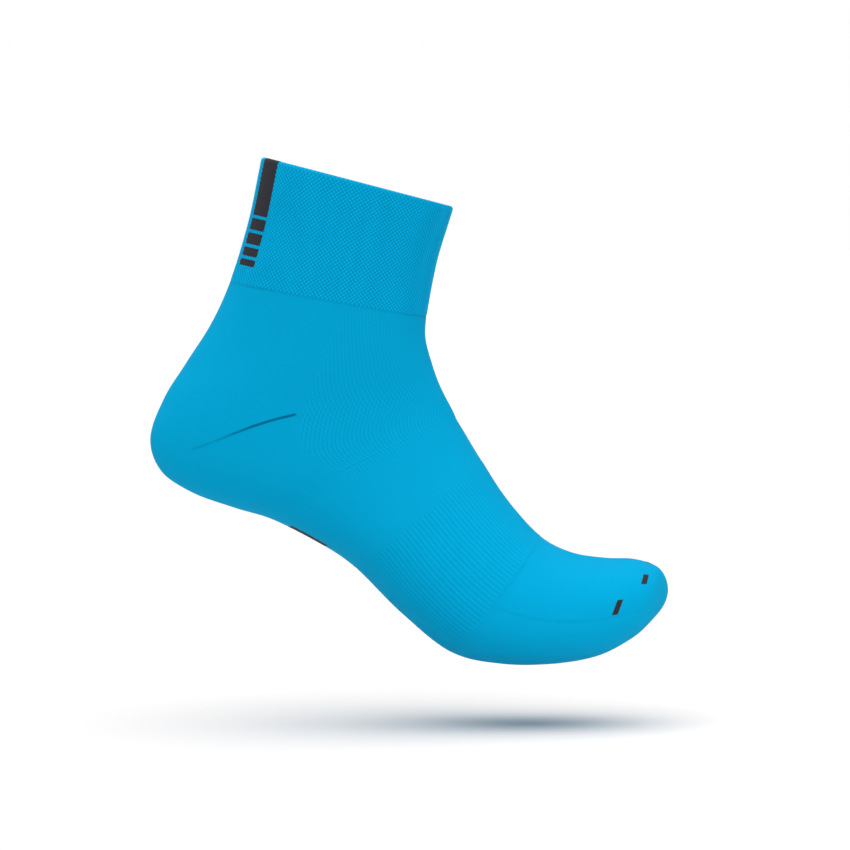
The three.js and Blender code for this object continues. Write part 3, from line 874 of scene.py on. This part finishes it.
@dataclass
class ToeShell:
    """The pocket round the toes, from the ball's girth to the rounded tip."""

    name: str
    node: str
    yarn: Yarn
    rows: int = 110
    back_rows: int = 24
    columns: int = 200
    crowding: float = 1.6

    def build(self) -> bpy.types.Object:
        """Builds the shell from a sphere, whose lower half becomes the outside."""
        loft = FABRIC.loft
        count = self.rows + 1 + self.back_rows
        add = bpy.ops.mesh.primitive_uv_sphere_add
        ball = started(add, segments=self.columns, ring_count=count)
        at = coordinates_of(ball)
        polar = np.arccos(np.clip(-at[:, 2], -1, 1)) * count / math.pi
        index = np.round(polar).astype(int)
        on_face = index <= self.rows
        share = np.where(on_face, index / self.rows, (count - index) / self.back_rows)
        place = loft.tip - (loft.tip - loft.toe_start) * np.clip(share, 0, 1) ** self.crowding
        around = np.arctan2(at[:, 1], at[:, 0]) * self.columns / (2 * math.pi)
        turn = np.round(around) % self.columns * 360 / self.columns
        depth = np.where(on_face, 0.0, FABRIC.thickness)
        place_vertices(ball, FABRIC.point(place, turn, depth))
        middle = on_face & (place > loft.toe_start + 1) & (place < loft.tip - 1)
        turn_outwards(ball, outer_face(ball, middle), place, turn)
        wales = FABRIC.share(place, turn) * FABRIC.wales
        map_knit(ball, wales, FABRIC.down(place) / FABRIC.course, FABRIC.wales)
        return finish_piece(ball, self.name, self.yarn, self.node)


@dataclass
class Patch:
    """A piece of fabric between four edges, given a thickness inwards."""

    name: str
    node: str
    yarn: Yarn
    spots: Spots
    rows: int
    columns: int
    raised: float = 0.0
    thickness: float = 1.2
    relief: StitchRelief = StitchRelief(Stitch.PLAIN)
    course_turn: float = 180.0  # turn along which the courses are counted
    easing: int = 0  # rounds of smoothing down the patch, where the girths crowd together
    cell: float = 0.7  # mm, about the size of one face

    def build(self) -> bpy.types.Object:
        """Builds the patch from a grid, whose two sides become the shares down and round it."""
        grid, x, y = started_grid(self.columns, self.rows)
        u, v = (x + 1) / 2, (1 - y) / 2
        place, turn = self.spots(v, u)
        fabric = FABRIC
        share = fabric.share(place, turn)
        down = fabric.down(place, self.course_turn)
        fade = edge_fade(v, self.rows * self.cell) * edge_fade(u, self.columns * self.cell)
        lift = self.relief.at(share, down) * fade + self.raised
        plain = self.eased(fabric.point(place, turn, -self.raised), u)
        out = fabric.loft.outward(place, turn) * (lift - self.raised)[:, None]
        place_vertices(grid, plain + out)
        map_knit(grid, share * fabric.wales, down / fabric.course)
        turn_outwards(grid, len(grid.data.polygons) // 2, place, turn)
        thicken(grid, self.thickness)
        return finish_piece(grid, self.name, self.yarn, self.node)

    def eased(self, points: Array, across: Array) -> Array:
        """Points smoothed down the patch, with its four edges where they were.

        Args:
            points: one point for each vertex of the grid.
            across: share of the way round the patch at each vertex.

        Returns:
            The smoothed points.
        """
        rows = points.reshape(-1, self.columns + 1, 3).copy()
        weight = 0.5 * np.sin(math.pi * across.reshape(rows.shape[:2])[1:-1, :, None]) ** 0.5
        for _ in range(self.easing):
            rows[1:-1] += weight * ((rows[:-2] + rows[2:]) / 2 - rows[1:-1])
        return rows.reshape(-1, 3)


@dataclass
class Ridge:
    """A seam or suture: a rounded, stitched band along a line of spots."""

    name: str
    node: str
    yarn: Yarn
    line: Line
    width: float
    height: float
    stitch: float = 1.3  # mm along the band
    beat: float = 0.35  # how much lower the crest is between stitches
    steps_per_mm: float = 4.0
    samples: int = 200  # along the line, to measure its length
    columns: int = 8
    wales: float = 2.0  # on each side of the crest
    end_width: float = 0.4  # share of the width left at the band's two ends
    clearance: float = 0.02  # mm between the fabric and the band's edges
    thickness: float = 0.9

    def build(self) -> bpy.types.Object:
        """Builds the band from a grid laid along the line, with a stitched crest."""
        path = FABRIC.loft.skin(*self.line(np.linspace(0, 1, self.samples)))
        length = float(np.linalg.norm(np.diff(path, axis=0), axis=-1).sum())
        grid, across, y = started_grid(self.columns, int(length * self.steps_per_mm))
        v = (y + 1) / 2
        place, turn = self.line(v)
        points = FABRIC.loft.skin(place, turn)
        ahead = self.tangent(v)
        normal = FABRIC.loft.outward(place, turn)
        aside = np.cross(ahead, normal)
        aside /= np.linalg.norm(aside, axis=-1, keepdims=True)
        beat = 1 - self.beat * (0.5 + 0.5 * np.cos(2 * math.pi * v * length / self.stitch))
        ends = edge_fade(v, length, self.width)
        crest = self.height * np.cos(across * math.pi / 2) * beat * ends
        half = self.width / 2 * (self.end_width + (1 - self.end_width) * ends)
        points += aside * (across * half)[:, None]
        place_vertices(grid, points + normal * (crest + self.clearance)[:, None])
        map_knit(grid, across * self.wales, v * length / self.stitch)
        turn_outwards(grid, len(grid.data.polygons) // 2, place, turn)
        thicken(grid, self.thickness)
        return finish_piece(grid, self.name, self.yarn, self.node)

    def tangent(self, v: Array) -> Array:
        """Directions along the line, of length one."""
        step = 0.004  # share of the line either side of the spot
        low, high = np.clip(v - step, 0, 1), np.clip(v + step, 0, 1)
        way = FABRIC.loft.skin(*self.line(high)) - FABRIC.loft.skin(*self.line(low))
        return way / np.linalg.norm(way, axis=-1, keepdims=True)


# ---- Sub-assemblies ----


@dataclass
class Cuff:
    """The doubled cuff, its closing row and the dark stripe down its back."""

    fold: CuffFold = field(default_factory=CuffFold)
    honeycomb: StitchRelief = HONEYCOMB
    stripe_turn: float = 206.5
    stripe_width: float = 13.0
    bar_length: float = 26.2
    dash_lengths: tuple[float, ...] = (5.1, 4.7, 3.6, 2.8)
    dash_space: float = 1.45
    raised: float = 0.1  # mm that the dark yarn stands proud
    stripe_relief: float = 0.8  # share of the honeycomb that shows through the dark yarn
    stripe_columns: int = 27
    stripe_step: float = 0.5  # mm between rows
    fewest_rows: int = 4
    hem_gap: float = 0.2  # mm from the bar's end to the turned hem

    def dashes(self) -> list[tuple[float, float]]:
        """Distances from the leg opening to the two ends of each dash."""
        spans = []
        start = self.bar_length + self.dash_space
        for length in self.dash_lengths:
            spans.append((start, start + length))
            start += length + self.dash_space
        return spans

    def build(self) -> None:
        """Builds every piece of the cuff."""
        loft = FABRIC.loft
        spans = [(-self.fold.turned, self.bar_length), *self.dashes()]
        CuffOuter(
            "cuff_outer",
            "cuff_outer_ply",
            CUFF,
            columns=512,
            relief=self.honeycomb,
            stripes=tuple(spans),
            stripe_turn=self.stripe_turn,
            stripe_width=self.stripe_width,
        ).build()
        closing = float(loft.cuff_place(loft.cuff_height - self.fold.closing))
        turned = float(loft.cuff_place(self.fold.turned))
        inside = loft.cuff_thickness
        Sleeve(
            "cuff_inner",
            "cuff_inner_ply",
            JERSEY,
            columns=160,
            first=turned,
            last=closing,
            rows=30,
            outside=inside - self.fold.ply,
            inside=inside,
        ).build()
        # the closing row is darkened with painted shade
        Sleeve(
            "cuff_closing",
            "cuff_closing_course",
            CLOSING_SHADE,
            columns=400,
            first=closing,
            last=loft.cuff_end,
            rows=4,
            outside=0.05,
            inside=inside,
        ).build()
        hem = self.fold.length - self.hem_gap
        self.stripe("cuff_bar", "stripe_bar", self.way_at(self.bar_length), hem)
        for i, (start, end) in enumerate(self.dashes(), 1):
            low, high = self.way_at(end), self.way_at(start)
            self.stripe(f"cuff_dash_{i}", f"stripe_dash_{i}", low, high)

    def way_at(self, distance: float) -> float:
        """Length of the way up the cuff at a distance from the leg opening."""
        return self.fold.outside + self.fold.middle - distance

    def stripe(self, name: str, node: str, low: float, high: float) -> None:
        """Builds one dark piece between two lengths of the way up the cuff."""
        fold = self.fold
        rows = max(int((high - low) / self.stripe_step), self.fewest_rows)
        grid, x, y = started_grid(self.stripe_columns, rows)
        distance, angle = fold.along(low + (high - low) * (y + 1) / 2)
        place = FABRIC.loft.cuff_place(distance)
        turn = self.stripe_turn + turn_of(self.stripe_width, place, self.stripe_turn) * x / 2
        share, down = FABRIC.share(place, turn), FABRIC.down(place)
        fading = np.cos(angle / 2) ** 2 * self.stripe_relief
        lift = self.raised + self.honeycomb.at(share, down) * fading
        radius = fold.middle + lift
        points = FABRIC.point(place, turn, fold.middle - radius * np.cos(angle))
        points += FABRIC.loft.leg_axis() * (radius * np.sin(angle))[:, None]
        place_vertices(grid, points)
        map_knit(grid, share * FABRIC.wales, down / FABRIC.course)
        turn_outwards(grid, outer_face(grid, angle < OUTER_FACE), place, turn)
        thicken(grid, DARK_THICKNESS)
        finish_piece(grid, name, DARK, node)


@dataclass
class AnkleAndHeel:
    """The panels between the cuff and the arch band, and the heel's sutures."""

    mesh_relief: StitchRelief = OPEN_MESH
    suture_start: float = 0.008
    suture_end: float = 0.25

    def build(self) -> None:
        """Builds every panel and both sutures."""
        loft = FABRIC.loft

        def rear(first: Callable[[Array], Array], last: Callable[[Array], Array]) -> Spots:
            """Spots on the rear needles between two edges."""

            def spots(v: Array, u: Array) -> tuple[Array, Array]:
                """The place and turn at shares down and round the panel."""
                place = first(u) + (last(u) - first(u)) * v
                side = loft.side_turn(place)
                return place, side + (360 - 2 * side) * u

            return spots

        def front(v: Array, u: Array) -> tuple[Array, Array]:
            """Spots on the front needles."""
            place = loft.cuff_end + (loft.band_start - loft.cuff_end) * v
            side = loft.side_turn(place)
            return place, -side + 2 * side * u

        def at_cuff(share: Array) -> Array:
            """The cuff's lower edge."""
            return np.full_like(share, loft.cuff_end)

        def at_band(share: Array) -> Array:
            """The arch band's upper edge."""
            return np.full_like(share, loft.band_start)

        Patch(
            "instep_mesh", "instep_mesh_panel", INSTEP, front, rows=150, columns=200,
            relief=self.mesh_relief, course_turn=0.0, easing=320,
        ).build()  # fmt: skip
        above, heel = rear(at_cuff, loft.heel_top_at), rear(loft.heel_top_at, loft.heel_end_at)
        below = rear(loft.heel_end_at, at_band)
        Patch("ankle_back", "ankle_back_panel", JERSEY, above, rows=60, columns=120).build()
        Patch("heel", "heel_pocket", JERSEY, heel, rows=90, columns=140).build()
        Patch("sole", "sole_panel", JERSEY, below, rows=60, columns=120).build()
        for side, sign in (("left", 1), ("right", -1)):
            name, node = f"heel_line_{side}", f"heel_suture_{side}"
            Ridge(name, node, HEEL_LINE_SHADE, self.suture(sign), width=1.2, height=0.1).build()

    def suture(self, sign: int) -> Line:
        """The line of one suture, from the front end of the heel pocket towards the back."""

        def line(v: Array) -> tuple[Array, Array]:
            """The place and turn at a share of the suture."""
            share = self.suture_start + (self.suture_end - self.suture_start) * np.asarray(v)
            share = share if sign > 0 else 1 - share
            place = FABRIC.loft.gore_at(share)
            side = FABRIC.loft.side_turn(place)
            return place, side + (360 - 2 * side) * share

        return line


@dataclass
class Foot:
    """The arch band, the ribbed mesh round the ball and the bar under the arch."""

    ribs: StitchRelief = RIB_MESH
    bar_place: float = 10.75
    bar_length: float = 20.0
    bar_width: float = 44.0

    def build(self) -> None:
        """Builds the rings and the bar."""
        loft = FABRIC.loft
        Sleeve(
            "arch", "arch_band", JERSEY, columns=240,
            first=loft.band_start, last=loft.band_end, rows=60, inside=FABRIC.thickness,
        ).build()  # fmt: skip
        Sleeve(
            "forefoot", "forefoot_mesh", RIBBED, columns=720, relief=self.ribs,
            first=loft.band_end, last=loft.toe_start, rows=110, inside=FABRIC.thickness,
        ).build()  # fmt: skip
        spots = around(self.bar_place, 180.0, self.bar_length, self.bar_width)
        Patch(
            "arch_mark", "sole_bar", DARK, spots, rows=30, columns=50,
            raised=MARK_RAISED, thickness=DARK_THICKNESS,
        ).build()  # fmt: skip


@dataclass
class Toe:
    """The toe pocket, its seams and the dark dashes on it."""

    dash_turns: tuple[float, ...] = (-84.0, -50.0, 0.0, 50.0, 84.0)
    dash_top: float = 17.75
    dash_side: float = 16.95
    dash_length: float = 7.0
    dash_width: float = 3.0
    seam_end: float = 98.0
    suture_turn: float = 92.0
    suture_start: float = 0.1  # girths past the seam
    suture_end: float = 1.4  # girths short of the tip

    def build(self) -> None:
        """Builds the shell, the seams and the dashes."""
        loft = FABRIC.loft
        ToeShell("toe", "toe_pocket", JERSEY).build()
        seam_end = self.seam_end

        def over_top(v: Array) -> tuple[Array, Array]:
            """The linking seam's line over the toes."""
            turn = -seam_end + 2 * seam_end * np.asarray(v)
            return np.full_like(turn, loft.toe_start), turn

        Ridge("toe_seam", "toe_linking_seam", SEAM_SOFT, over_top, width=1.6, height=0.18).build()
        for side, turn in (("left", self.suture_turn), ("right", -self.suture_turn)):
            name, node = f"toe_line_{side}", f"toe_suture_{side}"
            Ridge(name, node, SEAM_SOFT, self.suture(turn), width=0.9, height=0.02).build()
        for i, turn in enumerate(self.dash_turns, 1):
            aside = (turn / self.dash_turns[0]) ** 4  # 0 on top of the toes and 1 at their sides
            place = self.dash_top + (self.dash_side - self.dash_top) * aside
            spots = around(place, turn, self.dash_width, self.dash_length)
            Patch(
                f"toe_mark_{i}", f"toe_dash_{i}", DARK, spots, rows=10, columns=20,
                raised=MARK_RAISED, thickness=DARK_THICKNESS,
            ).build()  # fmt: skip

    def suture(self, turn: float) -> Line:
        """The line of one toe suture, from the seam towards the tip."""

        def line(v: Array) -> tuple[Array, Array]:
            """The place and turn at a share of the suture."""
            start = FABRIC.loft.toe_start + self.suture_start
            end = FABRIC.loft.tip - self.suture_end
            place = start + (end - start) * np.asarray(v, float)
            return place, np.full_like(place, turn)

        return line


def around(place: float, turn: float, length: float, width: float) -> Spots:
    """A patch of a length down the sock and a width round it, about one spot."""
    rows = place_of(length, place, turn)
    degrees = float(turn_of(width, np.array([place]), turn)[0])

    def spots(v: Array, u: Array) -> tuple[Array, Array]:
        """The place and turn at shares down and round the patch."""
        return place + rows * (v - 0.5), turn + degrees * (u - 0.5)

    return spots


# ---- Stage ----


@dataclass
class Studio:
    """A white floor and backdrop, soft light from above and a long lens from the sock's right."""

    floor: float = -0.258
    floor_size: float = 30.0
    floor_back: float = 5.0
    distance: float = 2.5
    eye_height: float = -0.005
    target: Metres = (0.0316, 0.0, -0.1154)
    view_width: float = 0.40375
    # each sun's name, its turn in degrees, its power and its spread in degrees
    suns: tuple[tuple[str, tuple[float, float, float], float, float], ...] = (
        ("above", (0.0, 0.0, 0.0), 3.4, 100.0),
        ("fill", (58.0, 0.0, -25.0), 0.8, 60.0),
    )
    surround: float = 0.24
    floor_tone: Colour = (0.755, 0.735, 0.725)
    lamp_place: Metres = (0.3, -0.2, -0.19)
    lamp_aim: Metres = (0.12, 0.0, -0.21)
    lamp_power: float = 0.22
    lamp_size: float = 0.18

    def build(self) -> None:
        """Builds the stage, the lights and the camera."""
        self.add_floor()
        self.add_lights()
        self.add_camera()

    def add_floor(self) -> None:
        """A wide floor whose middle only takes the sock's soft shadow."""
        place = (0, self.floor_back, self.floor)
        floor = started(bpy.ops.mesh.primitive_plane_add, size=self.floor_size, location=place)
        floor.name = "floor"
        made = bpy.data.materials.new("studio_white")
        made.use_nodes = True
        shader = made.node_tree.nodes["Principled BSDF"]
        shader.inputs["Base Color"].default_value = (*self.floor_tone, 1.0)
        shader.inputs["Roughness"].default_value = 1.0
        shader.inputs["Specular IOR Level"].default_value = 0.0
        floor.data.materials.append(made)

    def add_lights(self) -> None:
        """Soft light from above, a fill from the camera's side and a white surround."""
        for name, turn, power, spread in self.suns:
            data = bpy.data.lights.new(name, "SUN")
            data.energy, data.angle = power, math.radians(spread)
            self.linked(name, data).rotation_euler = [math.radians(angle) for angle in turn]
        data = bpy.data.lights.new("toe_lamp", "AREA")
        data.energy, data.size = self.lamp_power, self.lamp_size
        lamp = self.linked("toe_lamp", data)
        self.aim(lamp, self.lamp_place, self.lamp_aim)
        lamp.visible_camera = False
        world = bpy.data.worlds.new("surround")
        world.use_nodes = True
        tree = world.node_tree
        seen = add_node(tree, "ShaderNodeLightPath", {}, {}, "Is Camera Ray")
        strength = seen * (1.0 - self.surround) + self.surround
        background = tree.nodes["Background"]
        background.inputs["Color"].default_value = (1, 1, 1, 1)
        tree.links.new(strength.socket, background.inputs["Strength"])
        bpy.context.scene.world = world
        bpy.context.scene.view_settings.view_transform = "Standard"

    def add_camera(self) -> None:
        """A long lens aimed at the middle of the view."""
        data = bpy.data.cameras.new("camera")
        data.lens = data.sensor_width * self.distance / self.view_width
        data.clip_end = 100
        camera = self.linked("camera", data)
        self.aim(camera, (self.target[0], -self.distance, self.eye_height), self.target)
        bpy.context.scene.camera = camera

    @staticmethod
    def linked(name: str, data: bpy.types.ID) -> bpy.types.Object:
        """Adds a lamp or the camera to the scene."""
        made = bpy.data.objects.new(name, data)
        bpy.context.scene.collection.objects.link(made)
        return made

    @staticmethod
    def aim(obj: bpy.types.Object, place: Metres, target: Metres) -> None:
        """Puts a lamp or the camera at its place and points it at a target."""
        obj.location = place
        way = Vector(target) - obj.location
        obj.rotation_euler = way.to_track_quat("-Z", "Y").to_euler()


def main() -> None:
    """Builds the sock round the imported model, then the stage."""
    logging.basicConfig(level=logging.INFO, format="%(name)s: %(message)s")
    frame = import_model()
    Studio().build()
    Cuff().build()
    AnkleAndHeel().build()
    Foot().build()
    Toe().build()
    yarn = frame["nodes"]["cuff_elastic_yarn"]
    yarn.data.materials.clear()
    yarn.data.materials.append(ELASTIC.material())


if __name__ == "__main__":
    main()
